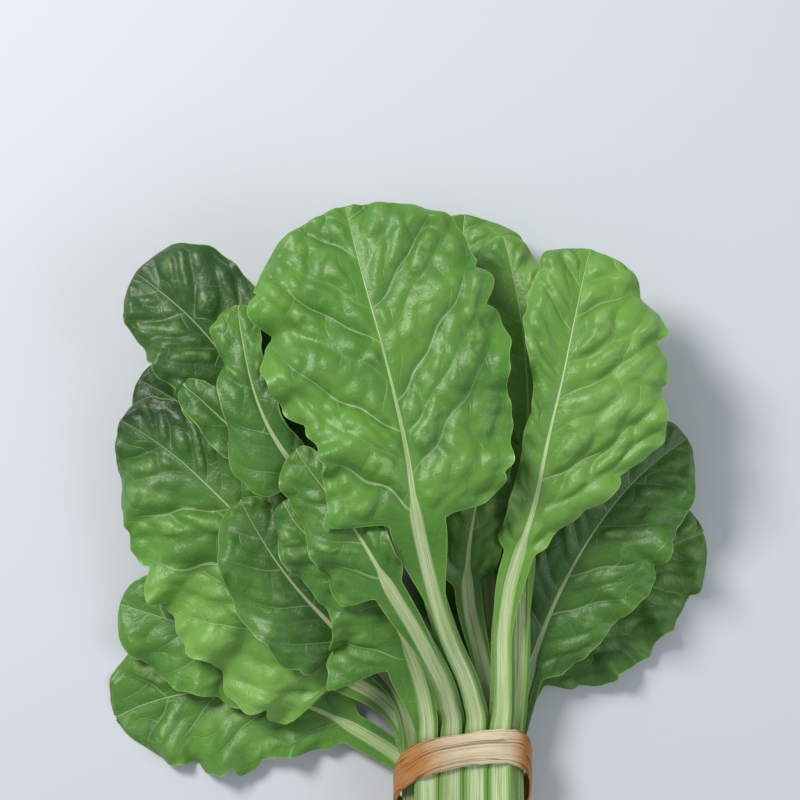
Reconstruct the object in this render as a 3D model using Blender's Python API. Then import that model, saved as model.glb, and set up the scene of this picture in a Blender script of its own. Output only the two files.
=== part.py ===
"""A bunch of green leaf chard, lying down, its stems tied with a flat strip of raffia.

Every leaf is one solid: a half-round stem that runs on as the rib under a thin waved blade.
The stems pass the tie in four rows. Above it they fan out and the leaves are laid one by one,
from the table up, each lifted clear of those under it, as real leaves rest on each other.

Sizes are in millimetres until the mesh is made. While the bunch is laid out, x is across it,
y runs from the tie towards the leaf tips, and z is the height above the table.
"""

import math
from dataclasses import dataclass

import bmesh
import bpy
import numpy as np

MM = 0.001

# The tied neck
NECK_X = -7.0
ROW_PITCH = 8.16
COLUMN_PITCH = 12.2
NECK_HEIGHT = 20.5
NECK_BELOW = -45.0
NECK_BULGE = 1.2
FLARE_BELOW = 1.10

# The tie: a strip wound once round the neck, leaning away from the viewer and to one side
TIE_HALF_WIDTH = 34.1
TIE_HALF_HEIGHT = 19.8
TIE_SQUARENESS = 3.0
TIE_THICK = 1.4
TIE_BREADTH = 17.5
TIE_OFFSET = -14.9
TIE_SLANT_ACROSS = 0.165
TIE_SLANT_UP = 1.0
TIE_STEPS = 36

# Stems and blades: half width and depth of the stem at five places
STEM_AT_CUT = (5.5, 7.1)
STEM_AT_TIE = (5.2, 6.8)
STEM_ABOVE_TIE = (4.4, 6.2)
STEM_AT_BLADE = (3.7, 5.0)
STEM_AT_TIP = (1.4, 1.0)
STEM_CHANNEL = 0.9
STEM_CORE = 0.7
RIB_REACH = 1.25
BLADE_THICK = 0.9
BLADE_RUN_IN = 14.0
WAVE_LENGTH = 40.0
TIP_CALM = 0.12
SCALLOP = 0.025
PUFF = 1.8
PUFF_LENGTH = 25.0
PUFF_SWEEP = 0.8

# The grid of each leaf: columns from margin to margin, and how far apart its rows lie
CORE_COLUMN = 0.32
COLUMNS = np.array([-1, -0.78, -0.55, -CORE_COLUMN, 0, CORE_COLUMN, 0.55, 0.78, 1])
STEM_ROW = 17.0
BLADE_ROW = 9.5

# Laying the leaves on each other
CLEARANCE = 2.0
CELL = 1.0
FIELD = 320.0
SAMPLES = 8
SOFTENING = 10
STEM_CLEARANCE = 0.7

LEAF_GREEN = (0.07, 0.24, 0.04, 1.0)
TIE_BROWN = (0.50, 0.27, 0.10, 1.0)


@dataclass
class Half:
    """One side of a blade.

    widths are its reach at 0, 7, 25, 50, 75 and 93 hundredths of its length. tilt is its angle
    in degrees at the rib and curl what is added to that by the margin. lobe is how far its
    foot hangs back past where it is joined to the stem.
    """

    widths: tuple
    tilt: float = 12.0
    curl: float = -14.0
    wave: float = 3.5
    phase: float = 0.0
    lobe: float = 4.0


@dataclass
class Leaf:
    """slot is the stem's column and row in the neck; path is what the midrib passes above it."""

    name: str
    slot: tuple
    path: list
    blade: float
    left: Half
    right: Half
    cut: float = -60.0


LEAVES = [
    Leaf(
        "leaf_far_left", (-1.5, 0),
        [(-38, -4, 9), (-64, 12, 9), (-90, 25, 9), (-124, 31, 8), (-159, 28, 4), (-187, 16, 0.8)],
        132, Half((4, 13, 26, 41, 37, 22), wave=4, phase=0.9), Half((3, 11, 30, 40, 34, 20), phase=2.0),
        cut=-60,
    ),
    Leaf(
        "leaf_low_left", (-2, 1),
        [(-40, 22, 18), (-79, 43, 18), (-119, 57, 16), (-154, 67, 13), (-184, 76, 9)],
        120, Half((3, 16, 26, 32, 28, 18), phase=1.0), Half((3, 16, 26, 30, 26, 16), phase=3.0), cut=-64,
    ),
    Leaf(
        "leaf_back_left", (-0.5, 0),
        [(-19, 36, 9), (-44, 66, 6), (-79, 108, 5), (-109, 145, 5), (-139, 171, 3.5), (-175, 192, 1)],
        135, Half((3, 15, 26, 30, 28, 18), phase=0.2), Half((3, 15, 26, 30, 28, 18), phase=1.7), cut=-70,
    ),
    Leaf(
        "leaf_back", (0.5, 0),
        [(5, 40, 8), (6, 90, 5), (0, 150, 3.4), (-9, 205, 2.2), (-14, 243, 1)],
        196, Half((3, 24, 38, 42, 38, 24), phase=0.9), Half((3, 24, 38, 42, 38, 24), phase=2.2), cut=-67,
    ),
    Leaf(
        "leaf_low_right", (1.5, 0),
        [(26, 33, 9), (42, 58, 7), (64, 83, 7), (90, 101, 4.5), (119, 112, 0.7)],
        122, Half((3, 16, 30, 38, 32, 20), phase=0.5), Half((3, 18, 34, 40, 34, 20), wave=5, phase=2.6),
        cut=-63,
    ),
    Leaf(
        "leaf_back_centre", (1, 1),
        [(9, 40, 22), (6, 90, 26), (0, 140, 30), (-6, 200, 33), (-8, 248, 30), (-6, 276, 24)],
        160, Half((3, 18, 32, 36, 32, 20), phase=0.1), Half((3, 18, 34, 40, 38, 28), phase=1.9), cut=-73,
    ),
    Leaf(
        "leaf_broad_left", (-1, 1),
        [(-26, 30, 21), (-49, 53, 26), (-84, 86, 33), (-104, 106, 36), (-136, 138, 37), (-160, 159, 32),
         (-182, 171, 24)],
        176, Half((8, 60, 68, 62, 48, 28), tilt=-4, curl=-12, wave=4.5, phase=0.8, lobe=8),
        Half((2, 8, 22, 30, 28, 18), phase=2.4), cut=-68,
    ),
    Leaf(
        "leaf_top_left", (0, 1),
        [(-11, 32, 22), (-25, 52, 27), (-48, 82, 34), (-74, 117, 41), (-98, 157, 47), (-117, 189, 50),
         (-136, 215, 52), (-153, 231, 49), (-172, 245, 42)],
        132, Half((3, 14, 26, 30, 28, 20), tilt=22, curl=-30, phase=0.3),
        Half((3, 14, 28, 36, 34, 24), tilt=18, curl=-30, phase=1.4), cut=-65,
    ),
    Leaf(
        "leaf_right_shade", (2, 1),
        [(25, 36, 22), (35, 68, 28), (48, 97, 34), (64, 123, 38), (84, 146, 38), (107, 162, 31)],
        154, Half((3, 12, 24, 30, 28, 18), phase=0.7), Half((3, 14, 28, 37, 32, 20), phase=2.9), cut=-71,
    ),
    Leaf(
        "leaf_right_inner", (2, 2),
        [(21, 42, 31), (21, 82, 36), (22, 120, 42), (25, 160, 46), (24, 200, 47), (19, 238, 43),
         (13, 264, 38)],
        160, Half((3, 10, 20, 26, 24, 16), wave=5.5, phase=0.6),
        Half((3, 9, 15, 16, 15, 11), wave=5.5, phase=2.1), cut=-64,
    ),
    Leaf(
        "leaf_small_left", (-1, 2),
        [(-26, 38, 33), (-47, 74, 44), (-72, 114, 52), (-95, 140, 57), (-117, 162, 60), (-133, 178, 60),
         (-147, 189, 56)],
        66, Half((2, 5, 9, 11, 9, 6), tilt=30, wave=2, phase=0.2, lobe=0),
        Half((2, 5, 9, 10, 8, 5), tilt=35, wave=2, phase=1.2, lobe=0), cut=-72,
    ),
    Leaf(
        "leaf_left_inner", (-2, 2),
        [(-39, 36, 30), (-61, 56, 35), (-84, 79, 40), (-104, 104, 44), (-119, 131, 44)],
        92, Half((3, 20, 29, 29, 24, 14), phase=0.5, lobe=8),
        Half((3, 10, 17, 20, 17, 10), tilt=16, phase=1.5), cut=-61,
    ),
    Leaf(
        "leaf_curled", (0, 2),
        [(-8, 32, 32), (-21, 54, 40), (-40, 79, 49), (-56, 104, 57), (-73, 127, 63), (-87, 144, 67),
         (-98, 158, 69), (-106, 172, 70), (-111, 187, 70), (-115, 203, 69), (-119, 228, 63)],
        94, Half((3, 14, 25, 15, 14, 11), tilt=8, curl=-30, wave=4, phase=0.5, lobe=10),
        Half((2, 5, 7, 8, 8, 6), tilt=28, curl=-10, wave=2.5, phase=1.8), cut=-63,
    ),
    Leaf(
        "leaf_young", (1, 2),
        [(6, 32, 31), (-1, 62, 36), (-6, 92, 42), (-4, 116, 47), (1, 141, 52), (6, 170, 54)],
        86, Half((2, 7, 12, 14, 12, 7), wave=2.5, phase=0.2),
        Half((2, 7, 13, 15, 12, 7), wave=2.5, phase=1.9), cut=-70,
    ),
    Leaf(
        "leaf_front_left", (-1.5, 3),
        [(-25.5, 28, 40), (-32, 48, 48), (-40, 71, 57), (-52, 86, 62), (-67, 98, 66), (-83, 111, 68),
         (-97, 131, 67)],
        106, Half((8, 42, 38, 20, 16, 11), tilt=2, curl=-22, wave=4, phase=0.3, lobe=10),
        Half((2, 5, 8, 9, 8, 5), tilt=28, curl=-10, wave=2, phase=1.1), cut=-66,
    ),
    Leaf(
        "leaf_front_narrow", (-0.5, 3),
        [(-12.5, 27, 40), (-20, 44, 47), (-30, 66, 58), (-46, 92, 68), (-55, 110, 73), (-65, 124, 76),
         (-77, 139, 78), (-90, 157, 77)],
        84, Half((4, 20, 25, 22, 18, 12), tilt=2, curl=-24, phase=0.7, lobe=8),
        Half((2, 6, 10, 11, 9, 6), tilt=28, curl=-10, wave=2, phase=2.0), cut=-62,
    ),
    Leaf(
        "leaf_right", (1.5, 3),
        [(13.5, 34, 40), (12, 56, 44), (13, 76, 49), (17, 97, 55), (24, 117, 60), (28, 131, 63), (33, 161, 68),
         (38, 180, 70), (43, 204, 71), (48, 228, 68), (55, 256, 58)],
        160, Half((3, 10, 9, 10, 24, 21), tilt=18, curl=-24, wave=2, phase=0.9),
        Half((3, 8, 31, 53, 45, 29), tilt=10, curl=-22, wave=3, phase=2.7), cut=-65,
    ),
    Leaf(
        "leaf_centre", (0.5, 3),
        [(-0.5, 27, 40), (-9, 47, 48), (-19, 73, 60), (-26, 100, 70), (-31, 122, 77), (-36, 160, 83),
         (-40, 176, 84), (-46, 202, 84), (-55, 233, 81), (-66, 276, 68)],
        160, Half((8, 43, 38, 56, 55, 38), tilt=10, curl=-20, wave=4, phase=0.2, lobe=8),
        Half((8, 34, 51, 58, 55, 39), tilt=8, curl=-18, wave=4, phase=1.6, lobe=12), cut=-69,
    ),
]


def smooth(x):
    """0 below 0, 1 above 1, and an even rise between."""
    x = np.clip(x, 0, 1)
    return x * x * (3 - 2 * x)


def through(knots, values, at):
    """A smooth run through the values at the knots that never swings past them."""
    values = np.array(values, float).reshape(len(knots), -1)
    gap = np.diff(knots)[:, None]
    rate = np.diff(values, axis=0) / gap
    before, after = rate[:-1], rate[1:]
    first, second = 2 * gap[1:] + gap[:-1], gap[1:] + 2 * gap[:-1]
    even = before * after > 0
    before, after = np.where(even, before, 1), np.where(even, after, 1)
    inner = np.where(even, (first + second) / (first / before + second / after), 0)
    slope = np.vstack([rate[:1], inner, rate[-1:]])
    i = np.clip(np.searchsorted(knots, at, side="right") - 1, 0, len(knots) - 2)
    t = ((at - knots[i])[:, None]) / gap[i]
    start = (1 + 2 * t) * values[i] + t * gap[i] * slope[i]
    end = (3 - 2 * t) * values[i + 1] + (t - 1) * gap[i] * slope[i + 1]
    return (1 - t) ** 2 * start + t**2 * end


def unit(v):
    return v / np.linalg.norm(v, axis=-1, keepdims=True)


class Spine:
    """The midrib from the cut end to the tip, with its length and the way that the leaf faces."""

    def __init__(self, leaf):
        column, row = leaf.slot
        x, z = column * COLUMN_PITCH, (row - 1.5) * ROW_PITCH
        z += NECK_BULGE * (1 - (column / 2) ** 2) * z / (1.5 * ROW_PITCH)
        top = z + STEM_AT_TIE[1] / 2
        self.free = TIE_OFFSET + TIE_SLANT_ACROSS * x + TIE_SLANT_UP * z + TIE_BREADTH / 2 + 3
        stem = [(NECK_X + x * FLARE_BELOW, leaf.cut, NECK_HEIGHT + top * FLARE_BELOW)]
        stem += [(NECK_X + x, y, NECK_HEIGHT + top) for y in (NECK_BELOW, self.free - 14, self.free)]
        knots = np.array(stem + leaf.path, float)
        chord = np.concatenate([[0], np.cumsum(np.linalg.norm(np.diff(knots, axis=0), axis=1))])
        self.points = through(chord, knots, np.linspace(0, chord[-1], 400))
        steps = np.linalg.norm(np.diff(self.points, axis=0), axis=1)
        self.at = np.concatenate([[0], np.cumsum(steps)])
        self.length = self.at[-1]
        self.tie = -leaf.cut
        self.blade = self.length - leaf.blade
        self.neck = float(np.interp(self.free, self.points[:, 1], self.at))

    def point(self, s):
        return np.stack([np.interp(s, self.at, self.points[:, k]) for k in range(3)], axis=-1)

    def frame(self, s):
        """Points of the spine at the lengths s, with the tangent, the side and the face's normal there."""
        reach = 4.0
        along = unit(self.point(s + reach) - self.point(s - reach))
        side = unit(np.cross(along, [0, 0, 1]))
        return self.point(s), along, side, np.cross(side, along)


def along_stem(spine, s, which):
    """The stem's half width (which 0) or depth (which 1) at the lengths s."""
    places = [0, spine.tie, spine.neck + 20, max(spine.blade, spine.neck + 24), spine.length]
    sizes = (STEM_AT_CUT, STEM_AT_TIE, STEM_ABOVE_TIE, STEM_AT_BLADE, STEM_AT_TIP)
    return np.interp(s, places, [size[which] for size in sizes])


def reach_of(half, u, s):
    """How far the blade stands out of the stem at the share u of its length."""
    round_ends = np.arccos(1 - 2 * u)
    widths = through(np.linspace(0, math.pi, 7), (*half.widths, 0), round_ends)[:, 0]
    scallops = 1 + SCALLOP * np.sin(2 * math.pi * s / WAVE_LENGTH * 1.37 + 2 * half.phase)
    return widths * scallops * (u > 0)


def sheet(leaf, spine, s, columns):
    """The leaf's upper face as a grid of points, and its thickness at each."""
    points, along, side, up = spine.frame(s)
    u = np.clip((s - spine.blade) / leaf.blade, 0, 1)
    into_blade = smooth((s - spine.blade) / BLADE_RUN_IN)
    stem = along_stem(spine, s, 0)
    deep = along_stem(spine, s, 1)
    core = STEM_CORE * stem
    grid = np.empty((len(s), len(columns), 3))
    thick = np.empty((len(s), len(columns)))
    for j, v in enumerate(columns):
        half, sign = (leaf.left, -1) if v < 0 else (leaf.right, 1)
        reach = reach_of(half, u, s)
        margin = stem + reach
        out = max((abs(v) - CORE_COLUMN) / (1 - CORE_COLUMN), 0)
        r = core * min(abs(v) / CORE_COLUMN, 1) + out * (margin - core)
        tilt = np.radians(half.tilt) * into_blade
        curl = np.radians(half.curl) * into_blade / margin + 1e-6
        angle = tilt + curl * r
        across = (np.sin(angle) - np.sin(tilt)) / curl
        rise = -(np.cos(angle) - np.cos(tilt)) / curl
        calm = into_blade * smooth((1 - u) / TIP_CALM)
        wave = half.wave * out**1.6 * calm * np.sin(2 * math.pi * s / WAVE_LENGTH + 2 * half.phase)
        puff = PUFF * into_blade * math.sin(math.pi * min(out, 0.95)) * (1 - u) ** 0.3
        lift = wave + puff * np.abs(np.sin(math.pi * (s - PUFF_SWEEP * r) / PUFF_LENGTH))
        channel = STEM_CHANNEL * (np.minimum(r / stem, 1) ** 2 - 0.5) * (1 - into_blade)
        across = across - lift * np.sin(angle)
        rise = rise + lift * np.cos(angle) + channel
        back = half.lobe * out**1.3 * (1 - u) ** 2 * reach / max(half.widths)
        grid[:, j] = points + side * (sign * across)[:, None] + up * rise[:, None] - along * back[:, None]
        round_back = np.sqrt(1 - np.minimum(r / stem, 1) ** 2)
        rib = np.clip(1 - (r / (RIB_REACH * core)) ** 2, 0, 1)
        thick[:, j] = BLADE_THICK + (deep - BLADE_THICK) * ((1 - into_blade) * round_back + into_blade * rib)
    return grid, thick


def rows_of(leaf, spine):
    """Where along the spine the leaf's rows lie: evenly on the stem, closer at both ends of the blade."""
    neck_rows = round(spine.neck / STEM_ROW)
    stem_rows = max(round((spine.blade - spine.neck) / STEM_ROW), 1)
    blade_rows = round(leaf.blade / BLADE_ROW)
    even = np.arange(1, blade_rows + 1) / blade_rows
    eased = (1 - np.cos(math.pi * even)) / 2
    return np.concatenate([
        np.linspace(0, spine.neck, neck_rows + 1),
        np.linspace(spine.neck, spine.blade, stem_rows + 1)[1:],
        spine.blade + leaf.blade * (0.35 * eased + 0.65 * even),
    ])


def triangles_of(rows, columns):
    """Index triples of a grid of rows by columns, its diagonals turning about so that no side leads."""
    found = []
    for i in range(rows - 1):
        for j in range(columns - 1):
            a, b = i * columns + j, i * columns + j + 1
            c, d = b + columns, a + columns
            found += [(a, b, c), (a, c, d)] if (i + j) % 2 else [(a, b, d), (b, c, d)]
    return np.array(found)


def normals_of(grid, triangles):
    """The average normal of the faces round each point of the grid."""
    flat = grid.reshape(-1, 3)
    a, b, c = (flat[triangles[:, k]] for k in range(3))
    faces = np.cross(b - a, c - a)
    found = np.zeros_like(flat)
    for k in range(3):
        np.add.at(found, triangles[:, k], faces)
    return unit(found).reshape(grid.shape)


def under_of(grid, thick, triangles):
    """The leaf's lower face: each point of the upper one moved in by the thickness there."""
    return grid - normals_of(grid, triangles) * thick[..., None]


class Pile:
    """The height of what is laid so far, in cells of the table."""

    def __init__(self):
        self.count = int(2 * FIELD / CELL)
        self.height = np.zeros((self.count, self.count))
        steps = [(i, j) for i in range(SAMPLES + 1) for j in range(SAMPLES + 1 - i)]
        self.weights = np.array([(i, j, SAMPLES - i - j) for i, j in steps]) / SAMPLES

    def spread(self, surface, triangles):
        """Points spread over every triangle, and the cells that they fall in."""
        corners = surface.reshape(-1, 3)[triangles]
        points = np.einsum("kc,tcx->tkx", self.weights, corners)
        cells = ((points[..., :2] + FIELD) / CELL).astype(int)
        return points, cells[..., 0], cells[..., 1]

    def lift_for(self, under, triangles, stem_rows, free):
        """How far each point of a leaf has to rise for all of its lower face to clear the pile.

        The stem may lie closer than the blade, and as far as it is tied it is clear already.
        """
        wide = self.height
        for axis in (0, 1):
            wide = np.maximum(wide, np.maximum(np.roll(wide, 1, axis), np.roll(wide, -1, axis)))
        points, i, j = self.spread(under, triangles)
        stem = (triangles.max(axis=1) < stem_rows * under.shape[1])[:, None]
        below = np.where(stem, self.height[i, j] + STEM_CLEARANCE, wide[i, j] + CLEARANCE)
        tied = (points[..., 1] < free + 1) & (np.abs(points[..., 0] - NECK_X) < TIE_HALF_WIDTH)
        short = np.where((self.height[i, j] > 0) & ~tied, below - points[..., 2], 0)
        needed = np.maximum(short, 0).max(axis=1)
        lift = np.zeros(under.shape[0] * under.shape[1])
        for k in range(3):
            np.maximum.at(lift, triangles[:, k], needed)
        return lift.reshape(under.shape[:2])

    def add(self, upper, triangles):
        points, i, j = self.spread(upper, triangles)
        np.maximum.at(self.height, (i, j), points[..., 2])


def around(grid):
    """Each point's own value and its eight neighbours', in a new first axis."""
    near = np.pad(grid, 1, mode="edge")
    rows, columns = grid.shape
    return np.stack([near[i:i + rows, j:j + columns] for i in range(3) for j in range(3)])


def soften(lift, stem_rows, held_rows):
    """Spreads a lift out evenly, nowhere under what was asked, with each row of the stem lifted as one."""
    for _ in range(SOFTENING):
        lift[:stem_rows] = lift[:stem_rows].max(axis=1, keepdims=True)
        lift = np.maximum(lift, around(lift).mean(axis=0))
        lift[:held_rows] = 0
    even = around(around(lift).max(axis=0)).mean(axis=0)
    return np.vstack([lift[:stem_rows], even[stem_rows:]])


def lay_leaves():
    """Lays every leaf on the pile, from the table up, and returns each one's two faces and its triangles."""
    pile = Pile()
    laid = {}
    for leaf in LEAVES:
        spine = Spine(leaf)
        s = rows_of(leaf, spine)
        upper, thick = sheet(leaf, spine, s, COLUMNS)
        triangles = triangles_of(len(s), len(COLUMNS))
        stem_rows = int((s < spine.blade + BLADE_RUN_IN).sum())
        held_rows = int((s < spine.neck + 1).sum())
        under = under_of(upper, thick, triangles)
        asked = pile.lift_for(under, triangles, stem_rows, spine.free)
        upper[..., 2] += soften(asked, stem_rows, held_rows)
        under = under_of(upper, thick, triangles)
        sunk = np.maximum(-np.minimum(upper[..., 2], under[..., 2]), 0)
        upper[..., 2] += sunk
        under[..., 2] += sunk
        pile.add(upper, triangles)
        laid[leaf.name] = (upper, under, triangles)
    return laid


def leaf_mesh(name, upper, under, triangles):
    """A closed mesh of a leaf's two faces, its margins, its cut end and its tip."""
    rows, columns = upper.shape[:2]
    made = bmesh.new()
    top = [made.verts.new(p * MM) for p in upper.reshape(-1, 3)]
    bottom = [made.verts.new(p * MM) for p in under.reshape(-1, 3)]
    for a, b, c in triangles:
        made.faces.new((top[a], top[b], top[c]))
        made.faces.new((bottom[c], bottom[b], bottom[a]))
    grid = np.arange(rows * columns).reshape(rows, columns)
    rim = [*grid[0, :-1], *grid[:-1, -1], *grid[-1, :0:-1], *grid[:0:-1, 0]]
    for a, b in zip(rim, rim[1:] + rim[:1]):
        made.faces.new((top[b], top[a], bottom[a]))
        made.faces.new((top[b], bottom[a], bottom[b]))
    bmesh.ops.recalc_face_normals(made, faces=made.faces)
    return finished(made, name)


def tie_mesh(name):
    """The strip of raffia: a closed band round the neck, creased along its length and flat on the table."""
    section = [(-0.5, 0.45), (-0.3, 1.0), (-0.08, 0.7), (0.12, 1.0), (0.3, 0.75), (0.5, 0.4)]
    section += [(0.5, 0.0), (-0.5, 0.0)]
    made = bmesh.new()
    rings = []
    for step in range(TIE_STEPS):
        angle = 2 * math.pi * step / TIE_STEPS
        breadth = TIE_BREADTH * (1 + 0.06 * math.sin(3 * angle + 0.5))
        ring = []
        for share, height in section:
            x, z = round_neck(angle, TIE_THICK * height)
            y = TIE_OFFSET + TIE_SLANT_ACROSS * x + TIE_SLANT_UP * z + share * breadth
            ring.append(made.verts.new(np.array((NECK_X + x, y, max(z + NECK_HEIGHT, 0))) * MM))
        rings.append(ring)
    for ring, after in zip(rings, rings[1:] + rings[:1]):
        for k, corner in enumerate(ring):
            made.faces.new((corner, ring[k - 1], after[k - 1], after[k]))
    bmesh.ops.triangulate(made, faces=made.faces)
    bmesh.ops.recalc_face_normals(made, faces=made.faces)
    return finished(made, name)


def round_neck(angle, out):
    """A point round the neck's rounded outline, out beyond it."""
    c, s = math.cos(angle), math.sin(angle)
    power = 2 / TIE_SQUARENESS
    x = math.copysign(abs(c) ** power, c) * (TIE_HALF_WIDTH + out)
    z = math.copysign(abs(s) ** power, s) * (TIE_HALF_HEIGHT + out)
    return x, z


def finished(made, name):
    mesh = bpy.data.meshes.new(name)
    made.to_mesh(mesh)
    made.free()
    return mesh


def material(name, colour, roughness):
    made = bpy.data.materials.new(name)
    made.use_nodes = True
    shader = made.node_tree.nodes["Principled BSDF"]
    shader.inputs["Base Color"].default_value = colour
    shader.inputs["Roughness"].default_value = roughness
    shader.inputs["Metallic"].default_value = 0.0
    return made


def place(name, mesh, look, parent):
    placed = bpy.data.objects.new(name, mesh)
    bpy.context.scene.collection.objects.link(placed)
    placed.data.materials.append(look)
    placed.data.shade_smooth()
    placed.data.set_sharp_from_angle(angle=math.radians(50))
    placed.parent = parent
    return placed


def centre_of(meshes):
    """The middle of the box round all the meshes, in plan."""
    corners = np.array([v.co for mesh in meshes for v in mesh.vertices])
    return (corners.min(axis=0)[:2] + corners.max(axis=0)[:2]) / 2


def main():
    for old in list(bpy.data.objects):
        bpy.data.objects.remove(old)
    meshes = {name: leaf_mesh(name, *faces) for name, faces in lay_leaves().items()}
    meshes["tie"] = tie_mesh("tie")
    bunch = bpy.data.objects.new("bunch", None)
    bpy.context.scene.collection.objects.link(bunch)
    middle = centre_of(meshes.values())
    bunch.location = (-middle[0], -middle[1], 0)
    for name, mesh in meshes.items():
        colour, roughness = (TIE_BROWN, 0.7) if name == "tie" else (LEAF_GREEN, 0.4)
        place(name, mesh, material(name, colour, roughness), bunch)


main()
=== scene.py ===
"""The looks of a bunch of green leaf chard: puffed, veined blades on striped stems, and a fibrous tie.

The leaves are laid out here by the rule that made the solids which they replace, so each keeps its
place and form. They are then worked out again on a fine grid, with side veins, the puffed fields
between them and ruffled margins, and each fine leaf is lifted clear of the fine ones under it.

Sizes are in millimetres until a mesh is made. While the bunch is laid out, x is across it, y runs
from the tie towards the leaf tips, and z is the height above the table.
"""

import math
from dataclasses import dataclass, field

import bpy
import numpy as np
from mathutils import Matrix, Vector


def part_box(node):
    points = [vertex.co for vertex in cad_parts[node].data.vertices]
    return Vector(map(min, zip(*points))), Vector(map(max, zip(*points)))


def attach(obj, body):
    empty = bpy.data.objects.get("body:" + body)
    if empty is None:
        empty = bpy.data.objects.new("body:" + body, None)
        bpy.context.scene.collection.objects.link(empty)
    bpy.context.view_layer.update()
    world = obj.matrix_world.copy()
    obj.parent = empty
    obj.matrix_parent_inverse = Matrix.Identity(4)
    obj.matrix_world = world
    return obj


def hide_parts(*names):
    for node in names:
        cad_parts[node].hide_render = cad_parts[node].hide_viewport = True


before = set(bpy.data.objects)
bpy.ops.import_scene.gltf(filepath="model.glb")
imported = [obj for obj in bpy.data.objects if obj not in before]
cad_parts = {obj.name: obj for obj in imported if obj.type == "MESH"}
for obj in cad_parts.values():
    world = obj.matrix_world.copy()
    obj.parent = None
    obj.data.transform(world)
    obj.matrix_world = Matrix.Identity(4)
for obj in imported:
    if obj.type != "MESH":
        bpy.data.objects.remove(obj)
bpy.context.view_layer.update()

MM = 0.001

# The tied neck: stems in rows and columns, straight through the tie and free to bend past it
NECK_X = -7.0
ROW_PITCH = 8.16
MIDDLE_ROW = 1.5
COLUMN_PITCH = 12.2
OUTER_COLUMN = 2.0
NECK_HEIGHT = 20.5
NECK_BELOW = -45.0
NECK_BULGE = 1.2
FLARE_BELOW = 1.10
STEM_FREE = 3.0
STEM_STRAIGHT = 14.0

# The tie: a strip wound once round the neck, leaning away from the viewer and to one side
TIE_HALF_WIDTH = 34.1
TIE_HALF_HEIGHT = 19.8
TIE_SQUARENESS = 3.0
TIE_THICK = 1.4
TIE_BREADTH = 17.5
TIE_OFFSET = -14.9
TIE_SLANT_ACROSS = 0.165
TIE_SLANT_UP = 1.0
TIE_AROUND, TIE_ACROSS = 420, 26
TIE_CREASES = ((1.6, 0.42), (3.1, 0.32), (5.3, 0.18), (9.3, 0.08))
TIE_CREASE_DRIFT = 0.06
TIE_CREASE_BASE = 0.25
TIE_LEAST = 0.35
TIE_WANDER = ((0.05, 3, 1), (0.04, 5, 2))
TIE_UNEVEN = ((0.06, 3, 0.5), (0.02, 11, 0), (0.012, 23, 0))
TIE_EDGE = math.radians(70)

# Stems and blades: half width and depth of the stem at five places
STEM_AT_CUT = (5.5, 7.1)
STEM_AT_TIE = (5.2, 6.8)
STEM_ABOVE_TIE = (4.4, 6.2)
STEM_AT_BLADE = (3.7, 5.0)
STEM_AT_TIP = (1.4, 1.0)
STEM_SETTLED_BY = 20.0
STEM_NARROW_BY = 24.0
STEM_CHANNEL = 0.9
STEM_CORE = 0.7
RIB_REACH = 1.25
BLADE_THICK = 0.9
BLADE_RUN_IN = 14.0
WAVE_LENGTH = 40.0
WAVE_GROWTH = 1.6
LOBE_GROWTH = 1.3
TIP_CALM = 0.12
SCALLOP = 0.025
SCALLOPS_PER_WAVE = 1.37
PUFF = 1.8
PUFF_LENGTH = 25.0
PUFF_SWEEP = 0.8
PUFF_OUT = 0.95
PUFF_FADE = 0.3
SPINE_POINTS = 400

# The solids' grid: columns from margin to margin, and how far apart the rows lie
CORE_COLUMN = 0.32
COLUMNS = np.array([-1, -0.78, -0.55, -CORE_COLUMN, 0, CORE_COLUMN, 0.55, 0.78, 1])
STEM_ROW = 17.0
BLADE_ROW = 9.5
ROWS_EASED = 0.35

# Laying the leaves on each other
CLEARANCE = 2.0
STEM_CLEARANCE = 0.7
CELL = 1.0
FIELD = 320.0
SAMPLES = 8
SOFTENING = 10
FINE_SOFTENING = 50

# The fine grid
FINE_STEM_ROW = 3.0
FINE_ROW = 1.5
FINE_COLUMN = 1.5
CORE_STEPS = 4
FINE_SAMPLES = 2
FINE_CLEARANCE = 0.3
STEMS_STAY = -FIELD
EASING = 18.0
EASING_STEPS = 9
MARGIN_THINNING = 0.4
MARGIN_FROM, MARGIN_RUN = 0.8, 0.2
LEAF_EDGE = math.radians(65)

# Veins, puffed fields and ruffles of the fine blades
SIDE_VEIN_SHARE = 0.37
SIDE_VEIN_LEAST, SIDE_VEIN_MOST = 11.0, 22.0
SIDE_VEIN_LEAN = 0.75
SIDE_VEIN_CURVE = 0.35
VEIN_UNEVEN = 0.16
VEIN_BEND, VEIN_BEND_LENGTH = 0.07, 6.5
VEIN_KINK, VEIN_KINK_LENGTH = 0.05, 2.9
CROSS_VEIN = 16.0
CROSS_SHIFT = 0.22
CROSS_KINK, CROSS_KINK_LENGTH = 0.12, 4.1
GOLDEN = 0.618
FIELD_HEIGHT = 3.0
FIELD_LEAST, CELL_LEAST = 0.3, 0.1
BROAD_SHARE, FIELD_SHARE, CELL_SHARE = 0.5, 0.25, 0.8
PUFF_MIDDLE = 0.5
FIELD_RISE = 5.0
SWELL_HEIGHT = 2.0
SWELL_LENGTH = 44.0
SWELL_WAVES = 4
SWELL_RISE = 12.0
CREASE_HEIGHT = 1.7
CREASE_LENGTH = 20.0
CREASE_MIDDLE = 0.3
RUFFLE = 2.0
RUFFLE_LENGTH = 24.0
RUFFLE_DRIFT, RUFFLE_DRIFT_LENGTH = 1.4, 17.0
LOBE_DEPTH = 0.09
LOBE_LENGTH = 31.0
LOBE_DRIFT, LOBE_DRIFT_LENGTH = 0.9, 13.0
NICK_DEPTH, NICK_TURN = 0.012, 0.5
ROLL = 2.2
ROLL_BREADTH = 7.0
RIDGE_HEIGHT = 0.22
RIDGE_PITCH = 1.9
WING = 3.0
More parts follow.
